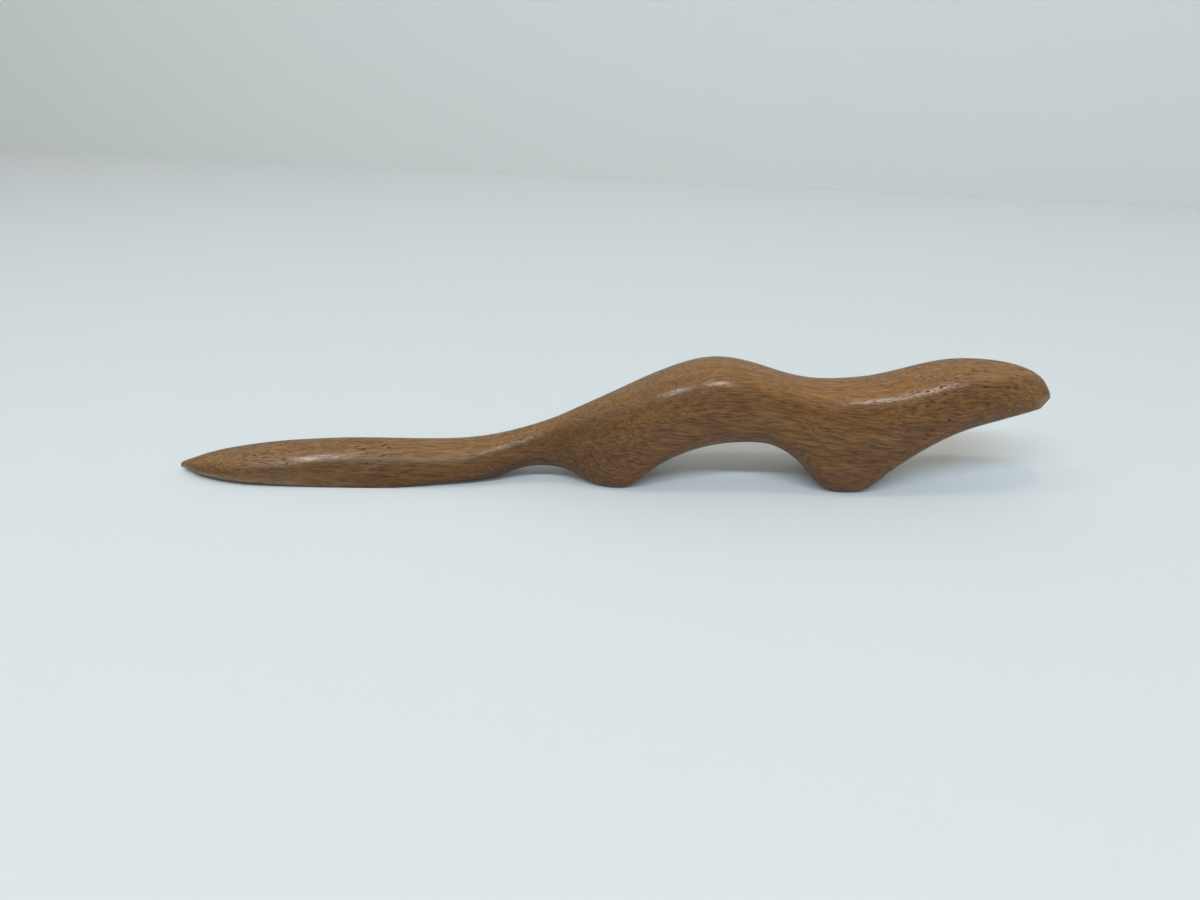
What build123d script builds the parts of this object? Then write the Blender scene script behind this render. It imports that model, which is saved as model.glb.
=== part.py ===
from build123d import *
import os
from math import pi, sin

# Letter opener carved from one piece of hardwood: a long-bodied animal whose flat tail is the blade.
# X runs along the piece from the blade tip (-X) to the nose (+X), Y across it and Z up from the table.
# The origin is on the table, under the middle of the piece. All sizes are in millimetres.

# Lengths along the piece
TIP_TO_BLADE = 52.0       # tip to the widest place of the blade
BLADE_TO_HEEL = 20.5      # widest place of the blade to its heel, where the back starts to rise
BLADE_TO_NECK = 47.0      # widest place of the blade to the thinnest place of the neck
NECK_TO_HIND = 19.3       # neck to the middle of the hind foot
STANCE = 61.3             # middle of the hind foot to the middle of the fore foot
FORE_TO_NOSE = 50.4       # middle of the fore foot to the nose
HIND_TO_HUMP = 26.7       # middle of the hind foot to the top of the hump
ARCH_TO_FORE = 25.0       # highest place of the belly to the middle of the fore foot
SADDLE_TO_FORE = 6.7      # lowest place of the back to the middle of the fore foot
CROWN_TO_NOSE = 21.0      # highest place of the head to the nose
TIP_LIFT = 25.0           # length of the tip that stands clear of the table
NECK_RISE = 19.5          # length over which the underside rises to the neck
HIND_SOLE = 6.0           # length of the hind foot's sole
FORE_SOLE = 7.0           # length of the fore foot's sole

# Heights of the back above the table
TIP_TOP = 2.6
BLADE_TOP = 9.8
HEEL_TOP = 9.6
HUMP_TOP = 33.3
SADDLE_TOP = 27.6
CROWN_TOP = 33.5
NOSE_TOP = 24.1

# Heights of the underside above the table
TIP_BOTTOM = 1.0
NECK_BOTTOM = 3.3
ARCH_TOP = 11.7
NOSE_BOTTOM = 23.2
SOLE_TRIM = 0.6           # wood taken off flat under the blade and the feet

# Widths across the piece
TIP_WIDTH = 2.0
BLADE_WIDTH = 19.2
NECK_WIDTH = 11.4
RUMP_WIDTH = 23.2
SHOULDER_WIDTH = 24.0
NOSE_WIDTH = 1.8

# Slopes, as rise over run, where an outline isn't level
TIP_RISE = 0.41           # back of the blade at the tip
TIP_FLARE = 0.72          # side of the blade at the tip
CHIN_SLOPE = 0.24         # throat where it meets the nose

# Shares of each stretch of an outline that keep to the landmark behind it and to the one ahead
BACK_HOLDS = ((0.10, 0.50), (0.40, 0.40), (0.40, 0.22), (0.35, 0.43), (0.55, 0.33), (0.74, 0.53))
TIP_HOLD = (0.36, 0.28)
SOLE_HOLD = (0.30, 0.30)
RISE_HOLD = (0.56, 0.44)
SHIN_HOLD = (0.53, 0.18)
ARCH_HOLDS = ((0.13, 0.77), (0.60, 0.29))
THROAT_HOLD = (0.07, 0.77)
PLAN_HOLDS = ((0.26, 0.65), (0.69, 0.27), (0.20, 0.85), (0.43, 0.36), (0.57, 0.84))
SECTION_HOLD = (0.40, 0.40)

# Cross-section at each landmark: the share of the height at which it is widest, then how full it is
# over the back, the upper flank, the lower flank and the underside. An ellipse is 0.55 all round,
# less on a flank is a sharper edge, and more is a squarer corner.
TIP_SECTION = (0.35, 0.60, 0.15, 0.10, 0.70)
BLADE_SECTION = (0.12, 0.60, 0.20, 0.12, 0.70)
NECK_SECTION = (0.50, 0.56, 0.55, 0.55, 0.56)
FOOT_SECTION = (0.50, 0.56, 0.60, 0.94, 0.94)
ARCH_SECTION = (0.50, 0.56, 0.58, 0.58, 0.60)
CROWN_SECTION = (0.42, 0.56, 0.56, 0.60, 0.62)
NOSE_SECTION = (0.25, 0.56, 0.55, 0.55, 0.55)

# Spacing of the cross-sections
SECTION_STEP = 4.0
NOSE_LENGTH = 9.0         # rounded length at the nose
NOSE_SECTIONS = 9

# Places of the landmarks along X
LENGTH = TIP_TO_BLADE + BLADE_TO_NECK + NECK_TO_HIND + STANCE + FORE_TO_NOSE
TIP_X = -LENGTH / 2
BLADE_X = TIP_X + TIP_TO_BLADE
HEEL_X = BLADE_X + BLADE_TO_HEEL
NECK_X = BLADE_X + BLADE_TO_NECK
HIND_X = NECK_X + NECK_TO_HIND
FORE_X = HIND_X + STANCE
NOSE_X = FORE_X + FORE_TO_NOSE
HUMP_X = HIND_X + HIND_TO_HUMP
ARCH_X = FORE_X - ARCH_TO_FORE
SADDLE_X = FORE_X - SADDLE_TO_FORE
CROWN_X = NOSE_X - CROWN_TO_NOSE


def curve(start, end, hold, slope_start=0.0, slope_end=0.0, upright_end=False):
    """Four control points from one landmark to the next. The line leaves and arrives level, unless it
    has a slope there or ends upright, and keeps to each landmark for its share of the way."""
    run = end[0] - start[0]
    leave_run = hold[0] * run
    arrive_run = hold[1] * run
    leave = (start[0] + leave_run, start[1] + leave_run * slope_start)
    arrive = (end[0] - arrive_run, end[1] - arrive_run * slope_end)
    if upright_end:
        arrive = (end[0], end[1] + hold[1] * (start[1] - end[1]))
    return start, leave, arrive, end


def cubic(values, t):
    """Value of a cubic curve at its parameter t."""
    s = 1 - t
    return s**3 * values[0] + 3 * s * s * t * values[1] + 3 * s * t * t * values[2] + t**3 * values[3]


def value_at(line, x):
    """Value of an outline, a chain of curves, at one place along the piece."""
    points = next((stretch for stretch in line if x <= stretch[3][0]), line[-1])
    along = [point[0] for point in points]
    low, high = 0.0, 1.0
    for _ in range(50):
        t = (low + high) / 2
        if cubic(along, t) < x:
            low = t
        else:
            high = t
    return cubic([point[1] for point in points], t)


def back_line():
    """Top outline seen from the side: blade, rising neck, hump, saddle and head."""
    tip = (TIP_X, TIP_TOP)
    blade = (BLADE_X, BLADE_TOP)
    heel = (HEEL_X, HEEL_TOP)
    hump = (HUMP_X, HUMP_TOP)
    saddle = (SADDLE_X, SADDLE_TOP)
    crown = (CROWN_X, CROWN_TOP)
    nose = (NOSE_X, NOSE_TOP)
    return [
        curve(tip, blade, BACK_HOLDS[0], slope_start=TIP_RISE),
        curve(blade, heel, BACK_HOLDS[1]),
        curve(heel, hump, BACK_HOLDS[2]),
        curve(hump, saddle, BACK_HOLDS[3]),
        curve(saddle, crown, BACK_HOLDS[4]),
        curve(crown, nose, BACK_HOLDS[5], upright_end=True),
    ]


def belly_line():
    """Lower outline seen from the side: blade, neck, the two feet with the arch between, and throat."""
    tip = (TIP_X, TIP_BOTTOM)
    blade_start = (TIP_X + TIP_LIFT, -SOLE_TRIM)
    blade_end = (NECK_X - NECK_RISE, -SOLE_TRIM)
    neck = (NECK_X, NECK_BOTTOM)
    hind_start = (HIND_X - HIND_SOLE / 2, -SOLE_TRIM)
    hind_end = (HIND_X + HIND_SOLE / 2, -SOLE_TRIM)
    arch = (ARCH_X, ARCH_TOP)
    fore_start = (FORE_X - FORE_SOLE / 2, -SOLE_TRIM)
    fore_end = (FORE_X + FORE_SOLE / 2, -SOLE_TRIM)
    nose = (NOSE_X, NOSE_BOTTOM)
    return [
        curve(tip, blade_start, TIP_HOLD),
        curve(blade_start, blade_end, SOLE_HOLD),
        curve(blade_end, neck, RISE_HOLD),
        curve(neck, hind_start, SHIN_HOLD),
        curve(hind_start, hind_end, SOLE_HOLD),
        curve(hind_end, arch, ARCH_HOLDS[0]),
        curve(arch, fore_start, ARCH_HOLDS[1]),
        curve(fore_start, fore_end, SOLE_HOLD),
        curve(fore_end, nose, THROAT_HOLD, slope_end=CHIN_SLOPE),
    ]


def plan_line():
    """Half width seen from above: leaf-shaped blade, slim neck, even body and rounded head."""
    tip = (TIP_X, TIP_WIDTH / 2)
    blade = (BLADE_X, BLADE_WIDTH / 2)
    neck = (NECK_X, NECK_WIDTH / 2)
    rump = (HUMP_X, RUMP_WIDTH / 2)
    shoulder = (FORE_X, SHOULDER_WIDTH / 2)
    nose = (NOSE_X, NOSE_WIDTH / 2)
    return [
        curve(tip, blade, PLAN_HOLDS[0], slope_start=TIP_FLARE),
        curve(blade, neck, PLAN_HOLDS[1]),
        curve(neck, rump, PLAN_HOLDS[2]),
        curve(rump, shoulder, PLAN_HOLDS[3]),
        curve(shoulder, nose, PLAN_HOLDS[4], upright_end=True),
    ]


def section_lines():
    """Each number of the cross-section as a line along the piece."""
    places = [
        (TIP_X, TIP_SECTION),
        (BLADE_X, BLADE_SECTION),
        (NECK_X, NECK_SECTION),
        (HIND_X, FOOT_SECTION),
        (ARCH_X, ARCH_SECTION),
        (FORE_X, FOOT_SECTION),
        (CROWN_X, CROWN_SECTION),
        (NOSE_X, NOSE_SECTION),
    ]
    lines = []
    for number in range(len(TIP_SECTION)):
        marks = [(x, shape[number]) for x, shape in places]
        lines.append([curve(start, end, SECTION_HOLD) for start, end in zip(marks, marks[1:])])
    return lines


def section(x, back, belly, plan, shapes):
    """Closed cross-section at one place along the piece, in four quarters."""
    top = value_at(back, x)
    bottom = value_at(belly, x)
    half = value_at(plan, x)
    widest, over_back, upper, lower, under = [value_at(line, x) for line in shapes]
    edge = bottom + widest * (top - bottom)
    crown = Vector(x, 0, top)
    sole = Vector(x, 0, bottom)
    left = Vector(x, half, edge)
    right = Vector(x, -half, edge)
    rise = Vector(0, 0, upper * (top - edge))
    drop = Vector(0, 0, lower * (edge - bottom))
    across_back = Vector(0, over_back * half, 0)
    across_sole = Vector(0, under * half, 0)
    return Wire([
        Bezier(crown, crown + across_back, left + rise, left),
        Bezier(left, left - drop, sole + across_sole, sole),
        Bezier(sole, sole - across_sole, right - drop, right),
        Bezier(right, right + rise, crown - across_back, crown),
    ])


def section_places():
    """Places of the cross-sections: evenly spaced up to the nose, closer together around it."""
    even_length = LENGTH - NOSE_LENGTH
    count = round(even_length / SECTION_STEP)
    even = [TIP_X + even_length * step / count for step in range(count)]
    turns = [pi / 2 * step / NOSE_SECTIONS for step in range(NOSE_SECTIONS + 1)]
    return even + [TIP_X + even_length + NOSE_LENGTH * sin(turn) for turn in turns]


def carved_body():
    """The whole piece, trimmed flat where it rests on the table."""
    outlines = (back_line(), belly_line(), plan_line(), section_lines())
    form = Solid.make_loft([section(x, *outlines) for x in section_places()])
    return split(form, Plane.XY, keep=Keep.TOP)


os.makedirs("parts", exist_ok=True)
body = carved_body()
export_step(body, "parts/carved_body.step")
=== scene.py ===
from functools import reduce
from math import asin, exp, radians

import bmesh
import bpy
from bpy.props import FloatProperty, FloatVectorProperty, IntProperty, PointerProperty
from bpy.types import Operator, Panel, PropertyGroup
from mathutils import Euler, Matrix, Vector, noise
from mathutils.bvhtree import BVHTree


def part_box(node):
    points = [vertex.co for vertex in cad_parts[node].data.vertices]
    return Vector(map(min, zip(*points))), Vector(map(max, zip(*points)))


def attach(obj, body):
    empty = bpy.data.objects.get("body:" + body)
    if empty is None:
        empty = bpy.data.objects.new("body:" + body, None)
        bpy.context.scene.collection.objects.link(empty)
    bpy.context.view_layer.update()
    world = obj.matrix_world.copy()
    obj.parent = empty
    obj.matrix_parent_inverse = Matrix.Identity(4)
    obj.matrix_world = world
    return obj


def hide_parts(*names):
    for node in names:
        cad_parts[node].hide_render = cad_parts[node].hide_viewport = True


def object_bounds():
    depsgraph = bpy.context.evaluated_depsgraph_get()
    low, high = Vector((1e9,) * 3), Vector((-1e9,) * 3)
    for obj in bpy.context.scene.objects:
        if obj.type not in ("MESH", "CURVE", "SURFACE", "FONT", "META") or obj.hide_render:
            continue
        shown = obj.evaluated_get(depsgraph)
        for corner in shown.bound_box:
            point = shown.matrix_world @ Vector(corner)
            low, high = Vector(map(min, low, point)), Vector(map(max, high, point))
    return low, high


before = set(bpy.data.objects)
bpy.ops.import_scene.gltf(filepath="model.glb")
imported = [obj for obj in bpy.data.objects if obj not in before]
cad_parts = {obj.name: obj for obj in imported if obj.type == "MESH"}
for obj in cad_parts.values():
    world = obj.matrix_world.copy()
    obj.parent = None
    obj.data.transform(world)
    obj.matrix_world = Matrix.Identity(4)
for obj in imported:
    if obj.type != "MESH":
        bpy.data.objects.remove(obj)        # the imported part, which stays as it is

bl_info = {
    "name": "Carved letter opener",
    "version": (1, 0, 0),
    "blender": (4, 5, 0),
    "location": "3D View > Sidebar > Letter opener",
    "description": "A hardwood letter opener carved as a long-bodied animal, on a pale table",
    "category": "Object",
}

CAD_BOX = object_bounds()
NODE = "carved_body"
MM = 0.001
TIP_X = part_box(NODE)[0].x
NOSE_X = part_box(NODE)[1].x

# Stretches along the piece: the place where a form or a mark starts, then the place where it is full
RIDGE_REAR = (-20.0 * MM, 12.0 * MM)
RIDGE_FRONT = (108.0 * MM, 92.0 * MM)
THROAT = (90.0 * MM, 104.0 * MM)
BEAK = (NOSE_X - 4.0 * MM, NOSE_X)
LOW_EDGE_TIP = (TIP_X + 1.0 * MM, TIP_X + 8.0 * MM)
LOW_EDGE_HEEL = (-42.0 * MM, -55.0 * MM)
# Painted shade: on the flanks of the neck and the blade, along the blade's low edge and under the blade
DARK_NECK = (12.0 * MM, -8.0 * MM)
DARK_BLADE = (-25.0 * MM, -45.0 * MM)
DARK_TIP = (TIP_X, TIP_X + 12.0 * MM)
DARK_EDGE = (-100.0 * MM, -86.0 * MM)
DARK_SOLE = (-10.0 * MM, -25.0 * MM)
# Painted light on the nose, and painted bounce light from the table under the belly
PALE_NOSE = (100.0 * MM, 112.0 * MM)
PALE_BELLY_REAR = (12.0 * MM, 22.0 * MM)
PALE_BELLY_FRONT = (58.0 * MM, 48.0 * MM)
# Painted sheen on the back of the blade and the rising neck
PAINTED_SHEEN_BACK = (42.0 * MM, 12.0 * MM)
DULL_BLADE = (-48.0 * MM, -58.0 * MM)
DULL_NECK_REAR = (-32.0 * MM, -22.0 * MM)
DULL_NECK_FRONT = (8.0 * MM, -4.0 * MM)
DULL_HEAD = (70.0 * MM, 84.0 * MM)

# How far a surface faces up where a form or a mark starts, then where it is full: 1 is up, -1 is down
THROAT_FACING = (0.1, -0.5)
# Painted light where the surface faces up, painted shade where it faces the side or down, and painted
# bounce light where the belly faces down
PALE_FACING = (0.60, 0.96)
DARK_FACING = (0.85, 0.60)
DARK_EDGE_FACING = (0.62, 0.35)
DARK_SOLE_FACING = (0.0, -0.4)
PALE_BELLY_FACING = (0.1, -0.3)
# Painted sheen where the surface faces up
PAINTED_SHEEN_FACING = (0.25, 0.60)

# Crisp ends, which are sanded less, and soles, which stay flat
CRISP_TIP = 6.0 * MM
CRISP_NOSE = 5.0 * MM
CRISP_ROUNDS = 2
SOLE_HEIGHT = 0.5 * MM

# The blade's edge and its drawn tip
LOW_EDGE_HEIGHT = (5.0 * MM, 1.5 * MM)
TIP_CURVE = 1.2
TIP_NARROWED = 0.30
TIP_FLATTENED = 0.18
TIP_HEIGHT = 1.8 * MM

# Cuts at the corner of the nose: the way each one faces, the wood that it spares there and the share
# of the rest that it takes off
CORNER_HEIGHT = 24.5 * MM
NOSE_CUTS = (
    ((0.6, 0.0, -0.8), 0.0, 1.0),             # under the tip
    ((0.887, 0.0, 0.461), 0.0, 0.8),          # above it
    ((0.7, -0.45, -0.55), 0.75 * MM, 1.0),    # to its right
    ((0.7, 0.45, -0.55), 0.75 * MM, 1.0),     # to its left
)
FACET_X = NOSE_X - 2.6 * MM
FACET_HEIGHT = 24.6 * MM

# Faces around the pin-hole: how often they are split, and how many radii of the hole around it
HOLE_SPLITS = 2
HOLE_REACH = 3.0

# How far each place is lightened by painted light or darkened by painted shade, as a share of the painted
# light on the back
NOSE_PAINTED_LIGHT = 0.45
BELLY_PAINTED_BOUNCE = 0.12
NECK_PAINTED_SHADE = 0.27
BLADE_PAINTED_SHADE = 0.08
EDGE_PAINTED_SHADE = 0.10
SOLE_PAINTED_SHADE = 0.45

# How dull the blade is, and the place on it that is rubbed to a shine
BLADE_DULLED = 1.5
SHINY_RUBBED = 2.1
SHINY_X = -76.0 * MM
SHINY_REACH = 7.0 * MM

# Where the oil is rubbed off: the blade's edge and tip, and a stretch back from the nose. The pale line
# along the edge is partly wear and partly a painted highlight on its lit bevel
EDGE_WEAR_AND_GLINT_LENGTH = 60.0 * MM
EDGE_WEAR_AND_GLINT_UP = 0.1
EDGE_WEAR_AND_GLINT_FACING = (0.6, 0.1)
WORN_TIP_LENGTH = 3.0 * MM
WORN_NOSE_BACK = (5.2 * MM, 3.9 * MM)
WORN_NOSE_HEIGHT = (26.5 * MM, 25.7 * MM)
NOSE_WORN = 0.6

# Patterns of the wood, in millimetres: the size along the grain and both ways across it
SWAY = (60.0, 26.0, 26.0)
LAYERS = (140.0, 1.3, 7.0)
STREAKS = (34.0, 0.55, 1.8)
FIBRES = (6.0, 0.22, 0.45)
CLOUDS = (38.0, 9.0, 9.0)
SHEEN = (12.0, 2.0, 2.0)
PATCHES = (2.2, 1.1, 1.1)
SWAY_REACH = (0.0, 7.0, 7.0)

# Colours that the wood is multiplied by
DARK_FLECK = (0.66, 0.62, 0.57)
LIGHT_FLECK = (1.40, 1.46, 1.59)
# Painted light and shade: added to white by the mask's share, so that a share below none darkens the wood
PAINTED_LIGHT_AND_SHADE_TINT = (0.74, 0.88, 1.15)      # added to white
# Painted sheen: a greyer, cooler tint
PAINTED_SHEEN_TINT = (0.92, 1.0, 1.15)

# Open pores, from short dashes to long veins: the shift of their pattern, their length and spacing in
# millimetres, their radius as a share of the spacing, and their darkness
PORES = (
    ((0.0, 0.0, 0.0), 3.2, 0.44, 0.31, 0.85),
    ((3.1, 5.7, 2.3), 8.0, 1.3, 0.16, 1.0),
    ((41.0, 2.9, 6.1), 60.0, 0.70, 0.24, 0.80),
)

# Fine scratches on the right flank, in millimetres: both ends, each along the piece and above the table
SCRATCHES = (
    ((70.2, 16.9), (72.5, 16.6)),
    ((73.0, 16.9), (75.9, 17.0)),
    ((69.3, 15.3), (71.4, 14.8)),
    ((71.9, 14.7), (73.5, 15.0)),
)
SCRATCH_WIDTH = 0.17

# The stage, in metres
SHEET_REACH = 2.0
TABLE_DROP = 0.02 * MM
WALL_BASE = (-0.05, 0.47, 0.0)
WALL_TURN = radians(-14.8)
TABLE_REFLECTED = 0.60           # brightness in the wood's shine
WALL_REFLECTED = 0.45
PIECE = (0.0, 0.0, 0.01)         # what most lamps are turned to

# Colours of the light
WARM = (1.0, 0.85, 0.65)
COOL = (0.68, 0.86, 1.0)
WHITE = (1.0, 0.97, 0.95)
ROOM = (1.0, 0.93, 0.85)


def length(name, description, default):
    """A size in metres."""
    return FloatProperty(
        name=name, description=description, default=default, precision=5, subtype="DISTANCE", unit="LENGTH"
    )


def share(name, description, default):
    """A number without a unit, usually between none and all."""
    return FloatProperty(name=name, description=description, default=default, precision=3)


def watts(name, description, default):
    """A lamp's power in watts."""
    return FloatProperty(name=name, description=description, default=default, precision=3, unit="POWER")


def angle(name, description, degrees):
    """An angle, given in degrees."""
    return FloatProperty(
        name=name, description=description, default=radians(degrees), subtype="ANGLE", unit="ROTATION"
    )


def colour(name, description, default):
    """A linear colour."""
    return FloatVectorProperty(
        name=name, description=description, default=default, size=3, min=0.0, max=1.0, subtype="COLOR"
    )


def place(name, description, default):
    """A point in the part's own frame, in metres."""
    return FloatVectorProperty(
        name=name, description=description, default=default, size=3, precision=5, subtype="TRANSLATION",
        unit="LENGTH",
    )


class CarvingSettings(PropertyGroup):
    """Sizes of the carved surface."""

    face_size: length("Face size", "Edge length of the fine faces", 0.45 * MM)
    smooth_rounds: IntProperty(
        name="Sanding rounds", description="How often the surface is sanded smooth", default=6, min=0
    )
    hand_depth: length("Hand depth", "How far the hand-carved surface swells and dips", 0.10 * MM)
    hand_size: length("Hand size", "Distance from one swell to the next", 13.0 * MM)
    ridge_height: length("Ridge height", "How far the ridge between back and flank stands out", 0.35 * MM)
    ridge_slope: angle("Ridge slope", "How far the surface faces up along the ridge", 46.0)
    ridge_spread: angle("Ridge spread", "How far the surface turns across the ridge", 20.0)
    edge_drop: length("Edge drop", "How far the blade's edge is brought down to the table", 0.55 * MM)
    tip_length: length("Tip length", "Length of the blade's tip that is drawn to a point", 6.0 * MM)
    hole_along: length("Hole place along", "Place of the pin-hole along the piece", 87.0 * MM)
    hole_height: length("Hole height", "Height of the pin-hole above the table", 21.8 * MM)
    hole_radius: length("Hole radius", "Radius of the pin-hole", 0.38 * MM)
    hole_depth: length("Hole depth", "Depth of the pin-hole", 1.1 * MM)
    beak_length: length("Beak length", "How far the nose is drawn out", 0.12 * MM)
    throat_depth: length("Throat depth", "How far the throat swells behind the nose", 0.45 * MM)
    facet_radius: length("Facet radius", "Reach of the flat worn on the nose", 2.6 * MM)
    facet_depth: length("Facet depth", "Wood worn off the nose", 0.22 * MM)


class HardwoodSettings(PropertyGroup):
    """Colours and sizes of the wood."""

    light: colour("Light wood", "Golden brown between the streaks", (0.173, 0.0778, 0.0231))
    dark: colour("Dark wood", "Brown of the streaks", (0.118, 0.0488, 0.0128))
    heart: colour("Heartwood", "Purplish brown layers", (0.136, 0.0570, 0.0206))
    pore: colour("Pores", "Dark oil and dust in the pores", (0.020, 0.009, 0.005))
    # Also used for the pale line along the blade's edge near the tip, which is partly a painted highlight
    worn: colour("Worn wood", "Pale wood where the oil is rubbed off", (0.33, 0.245, 0.155))
    tilt: angle("Grain tilt", "How far the grain drops towards the nose", 5.5)
    roughness: share("Roughness", "Roughness of the oiled surface", 0.215)
    pore_depth: length("Pore depth", "Depth of the open pores", 0.015 * MM)


class StageSettings(PropertyGroup):
    """Table, wall, light and camera."""

    table: colour("Table", "Pale bluish white of the table", (0.672, 0.684, 0.682))
    wall: colour("Wall", "Pale grey of the wall", (0.68, 0.70, 0.675))
    even: share("Even look", "Share of table and wall that looks alike in light and shade", 0.05)
    overhead: watts("Overhead lamp", "Power of the small warm lamp above", 0.57)
    left: watts("Left lamp", "Power of the lamp high on the left", 0.55)
    shine: watts("Shine", "Power of the lamp above that only shows in the wood's shine", 1.70)
    left_shine: watts("Left shine", "Power of the lamp on the left that only shows in the shine", 0.85)
    front: watts("Front light", "Power of the long cool light in front", 12.0)
    ambient: share("Ambient light", "Strength of the light from all round", 0.38)
    ceiling: watts("Ceiling", "Power of the broad light from the ceiling", 1.5)
    camera: place("Camera", "Place of the camera", (4.7 * MM, -228.0 * MM, 117.6 * MM))
    pitch: angle("Camera pitch", "How far the camera looks down", 25.8)
    turn: angle("Camera turn", "How far the camera is turned to the left", 1.29)
    lens: FloatProperty(name="Lens", description="Focal length in millimetres", default=28.29)


class Nodes:
    """Adds nodes to a material or a group and joins them."""

    def __init__(self, tree):
        self.tree = tree

    def set_input(self, socket, value):
        """Joins another node's output, or sets a plain value."""
        if isinstance(value, bpy.types.NodeSocket):
            self.tree.links.new(value, socket)
        else:
            socket.default_value = value

    def add(self, kind, inputs=None, **settings):
        """A node with its settings and its inputs, by name."""
        node = self.tree.nodes.new(kind)
        for name, value in settings.items():
            setattr(node, name, value)
        for name, value in (inputs or {}).items():
            self.set_input(node.inputs[name], value)
        return node

    def math(self, operation, first, second=0.0, clamp=False):
        """One step of arithmetic on values."""
        node = self.add("ShaderNodeMath", operation=operation, use_clamp=clamp)
        self.set_input(node.inputs[0], first)
        self.set_input(node.inputs[1], second)
        return node.outputs[0]

    def largest(self, values):
        """The largest of several values."""
        return reduce(lambda first, second: self.math("MAXIMUM", first, second), values)

    def vector(self, operation, first, second=(0.0, 0.0, 0.0), output=0):
        """One step of arithmetic on vectors."""
        node = self.add("ShaderNodeVectorMath", operation=operation)
        self.set_input(node.inputs[0], first)
        self.set_input(node.inputs[1], second)
        return node.outputs[output]

    def scaled(self, vector, factor):
        """A vector times a value."""
        node = self.add("ShaderNodeVectorMath", {"Scale": factor}, operation="SCALE")
        self.set_input(node.inputs[0], vector)
        return node.outputs[0]

    def spread(self, value, low, high, low_to=0.0, high_to=1.0, curve="SMOOTHSTEP"):
        """Value turned from one range to another."""
        return self.add(
            "ShaderNodeMapRange",
            {"Value": value, "From Min": low, "From Max": high, "To Min": low_to, "To Max": high_to},
            interpolation_type=curve,
        ).outputs["Result"]

    def mix(self, factor, first, second, blend="MIX"):
        """Mix of two colours."""
        node = self.add("ShaderNodeMix", data_type="RGBA", blend_type=blend)
        self.set_input(node.inputs[0], factor)
        self.set_input(node.inputs[6], first)
        self.set_input(node.inputs[7], second)
        return node.outputs[2]

    def noise(self, vector, size, detail=2.0, roughness=0.5, output="Fac"):
        """Cloudy noise with swells of one size each way."""
        return self.add("ShaderNodeTexNoise", {
            "Vector": self.vector("DIVIDE", vector, size), "Scale": 1.0, "Detail": detail,
            "Roughness": roughness,
        }).outputs[output]

    def attribute(self, name):
        """A value that the mesh holds at each corner."""
        return self.add("ShaderNodeAttribute", attribute_name=name).outputs["Fac"]


def rgba(values):
    """A colour with full opacity."""
    return (*values, 1.0)


def new_group(name, inputs, outputs):
    """An empty node group with named sockets, and its two ends."""
    group = bpy.data.node_groups.new(name, "ShaderNodeTree")
    for socket, kind in inputs.items():
        group.interface.new_socket(socket, in_out="INPUT", socket_type=kind)
    for socket, kind in outputs.items():
        group.interface.new_socket(socket, in_out="OUTPUT", socket_type=kind)
    return group, group.nodes.new("NodeGroupInput"), group.nodes.new("NodeGroupOutput")


def pore_group():
    """Open pores: fine tubes along the grain, cut open as dashes or, across the grain, as dots."""
    group, start, end = new_group(
        "open_pores",
        {"Vector": "NodeSocketVector", "Length": "NodeSocketFloat", "Spacing": "NodeSocketFloat",
         "Size": "NodeSocketFloat"},
        {"Pores": "NodeSocketFloat"},
    )
    n = Nodes(group)
    cell = n.add("ShaderNodeCombineXYZ", {
        "X": start.outputs["Length"], "Y": start.outputs["Spacing"], "Z": start.outputs["Spacing"]
    }).outputs[0]
    cells = n.add("ShaderNodeTexVoronoi", {
        "Vector": n.vector("DIVIDE", start.outputs["Vector"], cell), "Scale": 1.0, "Randomness": 1.0
    }, feature="F1")
    rim = n.math("MULTIPLY", start.outputs["Size"], 0.55)
    pores = n.spread(cells.outputs["Distance"], rim, start.outputs["Size"], 1.0, 0.0)
    n.set_input(end.inputs["Pores"], pores)
    return group


def scratch_group():
    """One fine scratch on the right flank, as a line seen from the side."""
    group, start, end = new_group(
        "flank_scratch",
        {"Vector": "NodeSocketVector", "From": "NodeSocketVector", "To": "NodeSocketVector",
         "Width": "NodeSocketFloat"},
        {"Scratch": "NodeSocketFloat"},
    )
    n = Nodes(group)
    from_side = (1.0, 0.0, 1.0)
    flat = n.vector("MULTIPLY", start.outputs["Vector"], from_side)
    first = n.vector("MULTIPLY", start.outputs["From"], from_side)
    last = n.vector("MULTIPLY", start.outputs["To"], from_side)
    run = n.vector("SUBTRACT", last, first)
    reach = n.vector("SUBTRACT", flat, first)
    covered = n.vector("DOT_PRODUCT", reach, run, output=1)
    whole = n.vector("DOT_PRODUCT", run, run, output=1)
    along = n.math("DIVIDE", covered, whole, clamp=True)
    off = n.vector("LENGTH", n.vector("SUBTRACT", reach, n.scaled(run, along)), output=1)
    core = n.math("MULTIPLY", start.outputs["Width"], 0.2)
    line = n.spread(off, core, start.outputs["Width"], 1.0, 0.0)
    side = n.add("ShaderNodeSeparateXYZ", {"Vector": start.outputs["Vector"]}).outputs["Y"]
    n.set_input(end.inputs["Scratch"], n.math("MULTIPLY", line, n.math("LESS_THAN", side, 0.0)))
    return group


def own_coordinates(n):
    """Coordinates of the piece itself, in millimetres."""
    own = n.add("ShaderNodeTexCoord").outputs["Object"]
    return n.add("ShaderNodeMapping", {"Vector": own, "Scale": (1 / MM, 1 / MM, 1 / MM)}).outputs[0]


def swaying_grain(n, own, tilt):
    """Coordinates along and across the grain, which drops towards the nose and sways a little."""
    turned = n.add("ShaderNodeMapping", {"Vector": own, "Rotation": (0.0, -tilt, 0.0)}).outputs[0]
    sway = n.vector("SUBTRACT", n.noise(turned, SWAY, detail=1.0, output="Color"), (0.5, 0.5, 0.5))
    return n.vector("ADD", turned, n.vector("MULTIPLY", sway, SWAY_REACH))


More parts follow.
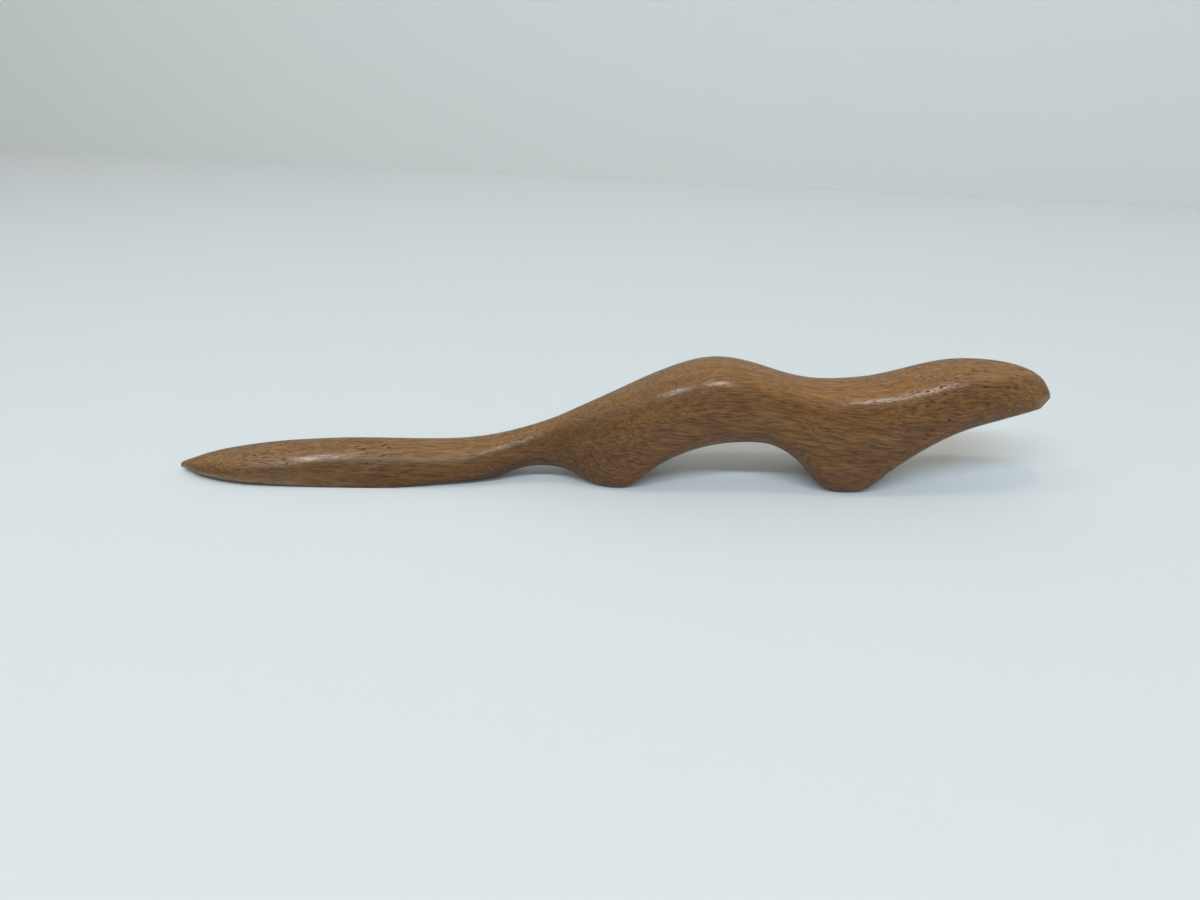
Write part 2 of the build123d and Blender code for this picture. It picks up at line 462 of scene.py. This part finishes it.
def bare_wood(n, settings, grain, layers, fibres):
    """Colour of the wood between its pores: streaks, heartwood and flecks, with painted light and shade
    and a painted sheen laid over them.
    """
    streaks = n.noise(grain, STREAKS, detail=3.0, roughness=0.6)
    clouds = n.noise(grain, CLOUDS)
    tone = n.math("ADD", n.math("MULTIPLY", layers, 0.5), n.math("MULTIPLY", streaks, 0.5))
    wood = n.mix(n.spread(tone, 0.24, 0.76), rgba(settings.dark), rgba(settings.light))
    wood = n.mix(n.spread(clouds, 0.50, 0.72, 0.0, 0.75), wood, rgba(settings.heart))
    flecks = n.mix(n.spread(fibres, 0.32, 0.68), rgba(DARK_FLECK), rgba(LIGHT_FLECK))
    wood = n.mix(1.0, wood, flecks, "MULTIPLY")
    # Painted light and shade: lighter where the surface faces up, on the nose and on the belly, darker on
    # the flanks, along the blade's low edge and underneath
    painted_light_factor = n.vector("ADD", n.scaled(PAINTED_LIGHT_AND_SHADE_TINT, n.attribute("painted_light_and_shade")), (1.0, 1.0, 1.0))
    wood = n.mix(1.0, wood, painted_light_factor, "MULTIPLY")
    # Painted sheen: a greyer, cooler tint on the upward-facing back of the blade and the rising neck, read
    # from the attribute named grey
    return n.mix(n.attribute("grey"), wood, n.mix(1.0, wood, rgba(PAINTED_SHEEN_TINT), "MULTIPLY"))


def open_pores(n, grain, layers, dull):
    """Pores of every kind, fewer in the light layers and more where the wood is dull."""
    group = pore_group()
    kinds = []
    for shift, long, spacing, radius, dark in PORES:
        kind = n.add("ShaderNodeGroup", {
            "Vector": n.vector("ADD", grain, shift), "Length": long, "Spacing": spacing, "Size": radius
        }, node_tree=group)
        kinds.append(n.math("MULTIPLY", kind.outputs[0], dark))
    crowd = n.spread(layers, 0.30, 0.66, 1.0, 0.45)
    crowd = n.math("ADD", crowd, n.math("MULTIPLY", dull, 0.30), clamp=True)
    return n.math("MULTIPLY", n.largest(kinds), crowd)


def rubbed_places(n, own):
    """How far the oil is rubbed off: along the scratches and, in patches, where the piece is worn. On the
    blade's edge near the tip this pale colour is partly a painted highlight on the lit bevel.
    """
    group = scratch_group()
    marks = []
    for first, last in SCRATCHES:
        mark = n.add("ShaderNodeGroup", {
            "Vector": own, "From": (first[0], 0.0, first[1]), "To": (last[0], 0.0, last[1]),
            "Width": SCRATCH_WIDTH,
        }, node_tree=group)
        marks.append(mark.outputs[0])
    patches = n.spread(n.noise(own, PATCHES, detail=3.0, roughness=0.6), 0.35, 0.65, 0.4)
    wear = n.math("MULTIPLY", n.attribute("wear"), patches)
    return n.math("MAXIMUM", n.math("MULTIPLY", n.largest(marks), 0.42), n.math("MULTIPLY", wear, 0.7))


def hardwood_material(settings):
    """Oiled hardwood in the solid: grain, pores and layers run right through the piece."""
    material = bpy.data.materials.new("oiled_hardwood")
    material.use_nodes = True
    material.node_tree.nodes.clear()
    n = Nodes(material.node_tree)
    own = own_coordinates(n)
    grain = swaying_grain(n, own, settings.tilt)
    layers = n.noise(grain, LAYERS, detail=3.0, roughness=0.6)
    fibres = n.noise(grain, FIBRES, roughness=0.6)
    dull = n.attribute("dull")
    pores = open_pores(n, grain, layers, dull)
    rubbed = rubbed_places(n, own)

    wood = bare_wood(n, settings, grain, layers, fibres)
    dry = n.math("ADD", n.math("MULTIPLY", dull, 0.28), 0.68)
    wood = n.mix(n.math("MULTIPLY", pores, dry, clamp=True), wood, rgba(settings.pore))
    wood = n.mix(rubbed, wood, rgba(settings.worn))

    sheen = n.noise(grain, SHEEN)
    oiled = n.spread(sheen, 0.3, 0.7, settings.roughness - 0.05, settings.roughness + 0.06)
    matt = n.math("MULTIPLY", n.math("MAXIMUM", pores, rubbed), 0.36)
    matt = n.math("ADD", matt, n.math("MULTIPLY", dull, 0.08))
    relief = n.math("SUBTRACT", n.spread(fibres, 0.25, 0.75, 0.0, 0.7, "LINEAR"), pores)
    bump = n.add("ShaderNodeBump", {"Height": relief, "Distance": settings.pore_depth, "Strength": 1.0})
    shader = n.add("ShaderNodeBsdfPrincipled", {
        "Base Color": wood, "Roughness": n.math("ADD", oiled, matt), "Normal": bump.outputs[0], "IOR": 1.5,
        "Specular IOR Level": 0.5,
    })
    n.add("ShaderNodeOutputMaterial", {"Surface": shader.outputs[0]})
    return material


def stage_material(name, values, even, reflected):
    """A matt surface of the stage, a little softer in its shadows and dimmer in reflections."""
    material = bpy.data.materials.new(name)
    material.use_nodes = True
    n = Nodes(material.node_tree)
    dimmed = [reflected * value for value in values]
    path = n.add("ShaderNodeLightPath").outputs
    tint = n.mix(path["Is Glossy Ray"], rgba(values), rgba(dimmed))
    matt = n.add("ShaderNodeBsdfDiffuse", {"Color": tint})
    plain = n.add("ShaderNodeEmission", {"Color": rgba(values)})
    seen = n.add("ShaderNodeMixShader", {"Fac": n.math("MULTIPLY", path["Is Camera Ray"], even)})
    n.set_input(seen.inputs[1], matt.outputs[0])
    n.set_input(seen.inputs[2], plain.outputs[0])
    n.set_input(material.node_tree.nodes["Material Output"].inputs["Surface"], seen.outputs[0])
    material.node_tree.nodes.remove(material.node_tree.nodes["Principled BSDF"])
    return material


def new_object(name, mesh):
    """A mesh object at the origin of the part's frame."""
    made = bpy.data.objects.new(name, mesh)
    bpy.context.scene.collection.objects.link(made)
    return made


def even_faces(settings):
    """The carved form in fine even faces."""
    bm = bmesh.new()
    bm.from_mesh(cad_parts[NODE].data)
    bmesh.ops.remove_doubles(bm, verts=bm.verts, dist=0.001 * MM)
    bmesh.ops.recalc_face_normals(bm, faces=bm.faces)
    form = bpy.data.meshes.new("carved_form")
    bm.to_mesh(form)
    bm.free()
    blank = new_object("carved_form", form)
    remesh = blank.modifiers.new("even faces", "REMESH")
    remesh.mode = "VOXEL"
    remesh.voxel_size = settings.face_size
    remesh.use_smooth_shade = True
    seat = blank.modifiers.new("set on the form", "SHRINKWRAP")
    seat.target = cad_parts[NODE]
    seat.wrap_method = "NEAREST_SURFACEPOINT"
    bpy.context.view_layer.update()
    made = bpy.data.meshes.new_from_object(blank.evaluated_get(bpy.context.evaluated_depsgraph_get()))
    bpy.data.objects.remove(blank)
    bpy.data.meshes.remove(form)
    return made


def sand(bm, settings):
    """Rounds of sanding. The tip and the nose get fewer, so that they stay crisp."""
    middle = [vert for vert in bm.verts if TIP_X + CRISP_TIP < vert.co.x < NOSE_X - CRISP_NOSE]
    for turn in range(settings.smooth_rounds):
        verts = bm.verts[:] if turn < CRISP_ROUNDS else middle
        bmesh.ops.smooth_vert(
            bm, verts=verts, factor=0.5, use_axis_x=True, use_axis_y=True, use_axis_z=True
        )


def ramp(value, start, end):
    """None before the start, all after the end, and soft between."""
    part = min(1.0, max(0.0, (value - start) / (end - start)))
    return part * part * (3.0 - 2.0 * part)


def raise_ridge(bm, settings):
    """The soft ridge between the back and each flank, from the rising neck to the head."""
    for vert in bm.verts:
        along = ramp(vert.co.x, *RIDGE_REAR) * ramp(vert.co.x, *RIDGE_FRONT)
        off = (asin(max(-1.0, min(1.0, vert.normal.z))) - settings.ridge_slope) / settings.ridge_spread
        vert.co += vert.normal * settings.ridge_height * along * exp(-off * off)


def shape_beak(bm, settings):
    """The nose drawn out to a short beak, with a fuller throat behind it."""
    for vert in bm.verts:
        x = vert.co.x
        throat = ramp(x, *THROAT) * ramp(vert.normal.z, *THROAT_FACING)
        vert.co.z -= settings.throat_depth * throat
        vert.co.x += settings.beak_length * ramp(x, *BEAK)


def finish_blade(bm, settings):
    """The blade's edge brought down to the table, and its tip drawn in to a fine point."""
    for vert in bm.verts:
        x = vert.co.x
        low = ramp(x, *LOW_EDGE_TIP) * ramp(x, *LOW_EDGE_HEEL)
        vert.co.z -= settings.edge_drop * low * ramp(vert.co.z, *LOW_EDGE_HEIGHT)
        drawn = max(0.0, 1.0 - (x - TIP_X) / settings.tip_length) ** TIP_CURVE
        vert.co.y *= 1.0 - TIP_NARROWED * drawn
        vert.co.z += (TIP_HEIGHT - vert.co.z) * TIP_FLATTENED * drawn


def undulate(bm, settings):
    """Soft swells and dips of a surface worked by hand. The soles stay flat."""
    for vert in bm.verts:
        if vert.co.z > SOLE_HEIGHT:
            swell = noise.noise(vert.co / settings.hand_size)
            vert.co += vert.normal * swell * settings.hand_depth


def flank_point(bm, along, height):
    """Point and outward direction on the right flank, seen from the side."""
    outside = Vector((along, CAD_BOX[0][1] - 10.0 * MM, height))
    point, normal, _, _ = BVHTree.FromBMesh(bm).ray_cast(outside, Vector((0.0, 1.0, 0.0)))
    return point, normal


def near(bm, point, reach):
    """Corners of the mesh within reach of a point."""
    return [vert for vert in bm.verts if (vert.co - point).length < reach]


def drill(bm, settings):
    """The small pin-hole in the right cheek."""
    point, normal = flank_point(bm, settings.hole_along, settings.hole_height)
    for _ in range(HOLE_SPLITS):
        inside = set(near(bm, point, HOLE_REACH * settings.hole_radius))
        edges = [edge for edge in bm.edges if edge.verts[0] in inside and edge.verts[1] in inside]
        bmesh.ops.subdivide_edges(bm, edges=edges, cuts=1, use_grid_fill=True)
    for vert in near(bm, point, settings.hole_radius):
        off = vert.co - point
        off -= normal * off.dot(normal)
        fill = min(1.0, 2.0 * (1.0 - off.length / settings.hole_radius))
        vert.co -= normal * settings.hole_depth * fill


def wear_nose(bm, settings):
    """The slopes cut around the tip of the nose, and the small flat worn on its right side."""
    corner = Vector((NOSE_X + settings.beak_length, 0.0, CORNER_HEIGHT))
    for facing, spared, taken in NOSE_CUTS:
        outward = Vector(facing)
        for vert in bm.verts:
            over = (vert.co - corner).dot(outward) - spared
            if over > 0.0:
                vert.co -= outward * over * taken
    point, normal = flank_point(bm, FACET_X, FACET_HEIGHT)
    for vert in near(bm, point, settings.facet_radius):
        over = (vert.co - point).dot(normal) + settings.facet_depth
        if over > 0.0:
            vert.co -= normal * over


def painted_light_and_shade_mask(bm):
    """Painted light and shade: how far the wood is lightened by painted light where it faces up, on the
    nose, and on the belly where it stands for light bounced from the table, or less than none where
    painted shade darkens it: on the flanks of the blade and of the rising neck, along the blade's low edge
    and under the blade."""
    layer = bm.verts.layers.float.new("painted_light_and_shade")
    for vert in bm.verts:
        x = vert.co.x
        up = vert.normal.z
        # Painted light on surfaces that face up, on the nose, and painted bounce light on the belly
        back = ramp(up, *PALE_FACING)
        nose = NOSE_PAINTED_LIGHT * ramp(x, *PALE_NOSE)
        belly = BELLY_PAINTED_BOUNCE * ramp(up, *PALE_BELLY_FACING)
        belly *= ramp(x, *PALE_BELLY_REAR)
        belly *= ramp(x, *PALE_BELLY_FRONT)
        # Painted shade on the flanks, along the blade's low edge and under the blade
        flank = NECK_PAINTED_SHADE * ramp(x, *DARK_NECK) + BLADE_PAINTED_SHADE * ramp(x, *DARK_BLADE)
        flank *= ramp(x, *DARK_TIP)
        flank *= ramp(up, *DARK_FACING)
        edge = ramp(x, *DARK_BLADE) * ramp(x, *DARK_EDGE)
        flank += EDGE_PAINTED_SHADE * edge * ramp(up, *DARK_EDGE_FACING)
        sole = SOLE_PAINTED_SHADE * ramp(x, *DARK_SOLE) * ramp(up, *DARK_SOLE_FACING)
        vert[layer] = max(back, nose, belly) - max(flank, sole)


def painted_sheen_mask(bm):
    """Painted sheen: how far a greyer, cooler tint is laid on the top of the blade and along the rising
    neck, where it stands in for a broad reflection of the room.
    """
    layer = bm.verts.layers.float.new("grey")
    for vert in bm.verts:
        vert[layer] = ramp(vert.co.x, *PAINTED_SHEEN_BACK) * ramp(vert.normal.z, *PAINTED_SHEEN_FACING)


def dull_mask(bm):
    """How dull each corner is: on the blade, apart from the one place that is rubbed to a shine, along
    the rising neck and on the head."""
    layer = bm.verts.layers.float.new("dull")
    for vert in bm.verts:
        x = vert.co.x
        off = (x - SHINY_X) / SHINY_REACH
        blade = ramp(x, *DULL_BLADE) * (BLADE_DULLED - SHINY_RUBBED * exp(-off * off))
        neck = ramp(x, *DULL_NECK_REAR) * ramp(x, *DULL_NECK_FRONT)
        head = ramp(x, *DULL_HEAD)
        vert[layer] = blade + neck + head


def wear_mask(bm):
    """How far the oil is rubbed off each corner: the blade's edge near its tip, the tip and the nose. On
    the edge the pale line is partly wear and partly a painted highlight on its lit bevel.
    """
    layer = bm.verts.layers.float.new("wear")
    for vert in bm.verts:
        from_tip = vert.co.x - TIP_X
        from_nose = NOSE_X - vert.co.x
        # Edge faces that face the side: partly wear, partly a painted highlight on the lit bevel
        edge = ramp(abs(vert.normal.z - EDGE_WEAR_AND_GLINT_UP), *EDGE_WEAR_AND_GLINT_FACING)
        edge *= max(0.0, 1.0 - from_tip / EDGE_WEAR_AND_GLINT_LENGTH)
        tip = max(0.0, 1.0 - from_tip / WORN_TIP_LENGTH)
        nose = NOSE_WORN * ramp(from_nose, *WORN_NOSE_BACK) * ramp(vert.co.z, *WORN_NOSE_HEIGHT)
        vert[layer] = max(edge, tip, nose)


class OPENER_OT_carve_body(Operator):
    """Carve the letter opener and give it its wood"""

    bl_idname = "opener.carve_body"
    bl_label = "Carve the body"

    def execute(self, context):
        settings = context.scene.opener_carving
        mesh = even_faces(settings)
        mesh.name = "opener_body"
        bm = bmesh.new()
        bm.from_mesh(mesh)
        bm.normal_update()
        shape_beak(bm, settings)
        sand(bm, settings)
        bm.normal_update()
        raise_ridge(bm, settings)
        finish_blade(bm, settings)
        undulate(bm, settings)
        wear_nose(bm, settings)
        drill(bm, settings)
        for vert in bm.verts:
            vert.co.z = max(vert.co.z, 0.0)
        bm.normal_update()
        wear_mask(bm)
        painted_light_and_shade_mask(bm)
        painted_sheen_mask(bm)
        dull_mask(bm)
        for face in bm.faces:
            face.smooth = True
        bm.to_mesh(mesh)
        bm.free()
        body = new_object("opener_body", mesh)
        body.data.materials.clear()
        body.data.materials.append(hardwood_material(context.scene.opener_hardwood))
        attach(body, "root")
        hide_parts(NODE)
        return {"FINISHED"}


def stage_sheet(name, matrix, material):
    """A flat square of the stage."""
    bm = bmesh.new()
    bmesh.ops.create_grid(bm, x_segments=1, y_segments=1, size=SHEET_REACH, matrix=matrix)
    mesh = bpy.data.meshes.new(name)
    bm.to_mesh(mesh)
    bm.free()
    sheet = new_object(name, mesh)
    mesh.materials.append(material)


def lay_sheets(settings):
    """The table, and the wall that stands on its far edge."""
    table_matte = stage_material("table_matte", settings.table, settings.even, TABLE_REFLECTED)
    wall_matte = stage_material("wall_matte", settings.wall, settings.even, WALL_REFLECTED)
    corner = Matrix.Translation(WALL_BASE) @ Matrix.Rotation(WALL_TURN, 4, "Z")
    table = corner @ Matrix.Translation((0.0, -SHEET_REACH, -TABLE_DROP))
    stage_sheet("table", table, table_matte)
    wall = corner @ Matrix.Translation((0.0, 0.0, SHEET_REACH))
    stage_sheet("wall", wall @ Matrix.Rotation(radians(90.0), 4, "X"), wall_matte)


def area_light(name, shape, size, power, values, location, target=PIECE):
    """A lamp with a surface of its own, so wide and so deep, turned to a target."""
    light = bpy.data.lights.new(name, "AREA")
    light.shape = shape
    light.size, light.size_y = size
    light.energy = power
    light.color = values
    lamp = bpy.data.objects.new(name, light)
    lamp.location = location
    lamp.rotation_euler = (Vector(target) - Vector(location)).to_track_quat("-Z", "Y").to_euler()
    bpy.context.scene.collection.objects.link(lamp)
    return lamp


def hang_lamps(settings):
    """Four lamps that light the stage, and two that only show in the wood's shine."""
    lighting = (
        area_light("overhead_lamp", "DISK", (0.10, 0.10), settings.overhead, WARM, (-0.008, -0.108, 0.90)),
        area_light("front_light", "RECTANGLE", (1.40, 0.08), settings.front, COOL, (-0.02, -0.74, 0.95)),
        area_light("left_lamp", "DISK", (0.12, 0.12), settings.left, WHITE, (-0.415, -0.075, 0.785)),
        area_light(
            "ceiling_light", "RECTANGLE", (1.2, 0.8), settings.ceiling, ROOM, (0.0, -0.05, 1.10),
            target=(0.0, -0.05, 0.0),
        ),
    )
    for lamp in lighting:
        lamp.visible_glossy = False
    shining = (
        area_light("shine_lamp", "ELLIPSE", (0.34, 0.14), settings.shine, WHITE, (0.045, -0.34, 0.87)),
        area_light(
            "left_shine_lamp", "ELLIPSE", (0.20, 0.09), settings.left_shine, WHITE, (-0.395, -0.28, 0.80)
        ),
    )
    for lamp in shining:
        lamp.visible_diffuse = False


def fill_room(scene, settings):
    """The weak warm light from all round."""
    world = bpy.data.worlds.new("room")
    world.use_nodes = True
    background = world.node_tree.nodes["Background"]
    background.inputs["Color"].default_value = rgba(ROOM)
    background.inputs["Strength"].default_value = settings.ambient
    scene.world = world
    scene.view_settings.view_transform = "Standard"


def place_camera(scene, settings):
    """The camera in front of the piece, a little above it."""
    lens = bpy.data.cameras.new("photo_view")
    lens.sensor_fit = "HORIZONTAL"
    lens.sensor_width = 36.0
    lens.lens = settings.lens
    lens.clip_start = 0.01
    camera = bpy.data.objects.new("photo_view", lens)
    camera.location = settings.camera
    camera.rotation_euler = Euler((radians(90.0) - settings.pitch, 0.0, settings.turn))
    scene.collection.objects.link(camera)
    scene.camera = camera


class OPENER_OT_set_stage(Operator):
    """Lay the table, put up the wall and the lamps, and place the camera"""

    bl_idname = "opener.set_stage"
    bl_label = "Set the stage"

    def execute(self, context):
        settings = context.scene.opener_stage
        lay_sheets(settings)
        hang_lamps(settings)
        fill_room(context.scene, settings)
        place_camera(context.scene, settings)
        return {"FINISHED"}


class OPENER_PT_sidebar(Panel):
    """Settings and steps of the letter opener"""

    bl_idname = "OPENER_PT_sidebar"
    bl_label = "Letter opener"
    bl_space_type = "VIEW_3D"
    bl_region_type = "UI"
    bl_category = "Letter opener"

    def draw(self, context):
        layout = self.layout
        groups = (
            ("Carving", context.scene.opener_carving, OPENER_OT_carve_body),
            ("Hardwood", context.scene.opener_hardwood, None),
            ("Stage", context.scene.opener_stage, OPENER_OT_set_stage),
        )
        for title, settings, operator in groups:
            box = layout.box()
            box.label(text=title)
            for name in settings.__annotations__:
                box.prop(settings, name)
            if operator:
                box.operator(operator.bl_idname)


CLASSES = (
    CarvingSettings, HardwoodSettings, StageSettings, OPENER_OT_carve_body, OPENER_OT_set_stage,
    OPENER_PT_sidebar,
)


def register():
    for kind in CLASSES:
        bpy.utils.register_class(kind)
    bpy.types.Scene.opener_carving = PointerProperty(type=CarvingSettings)
    bpy.types.Scene.opener_hardwood = PointerProperty(type=HardwoodSettings)
    bpy.types.Scene.opener_stage = PointerProperty(type=StageSettings)


def unregister():
    del bpy.types.Scene.opener_carving
    del bpy.types.Scene.opener_hardwood
    del bpy.types.Scene.opener_stage
    for kind in reversed(CLASSES):
        bpy.utils.unregister_class(kind)


def main():
    """Registers the add-on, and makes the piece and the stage."""
    register()
    bpy.ops.opener.carve_body()
    bpy.ops.opener.set_stage()


if __name__ == "__main__":
    main()
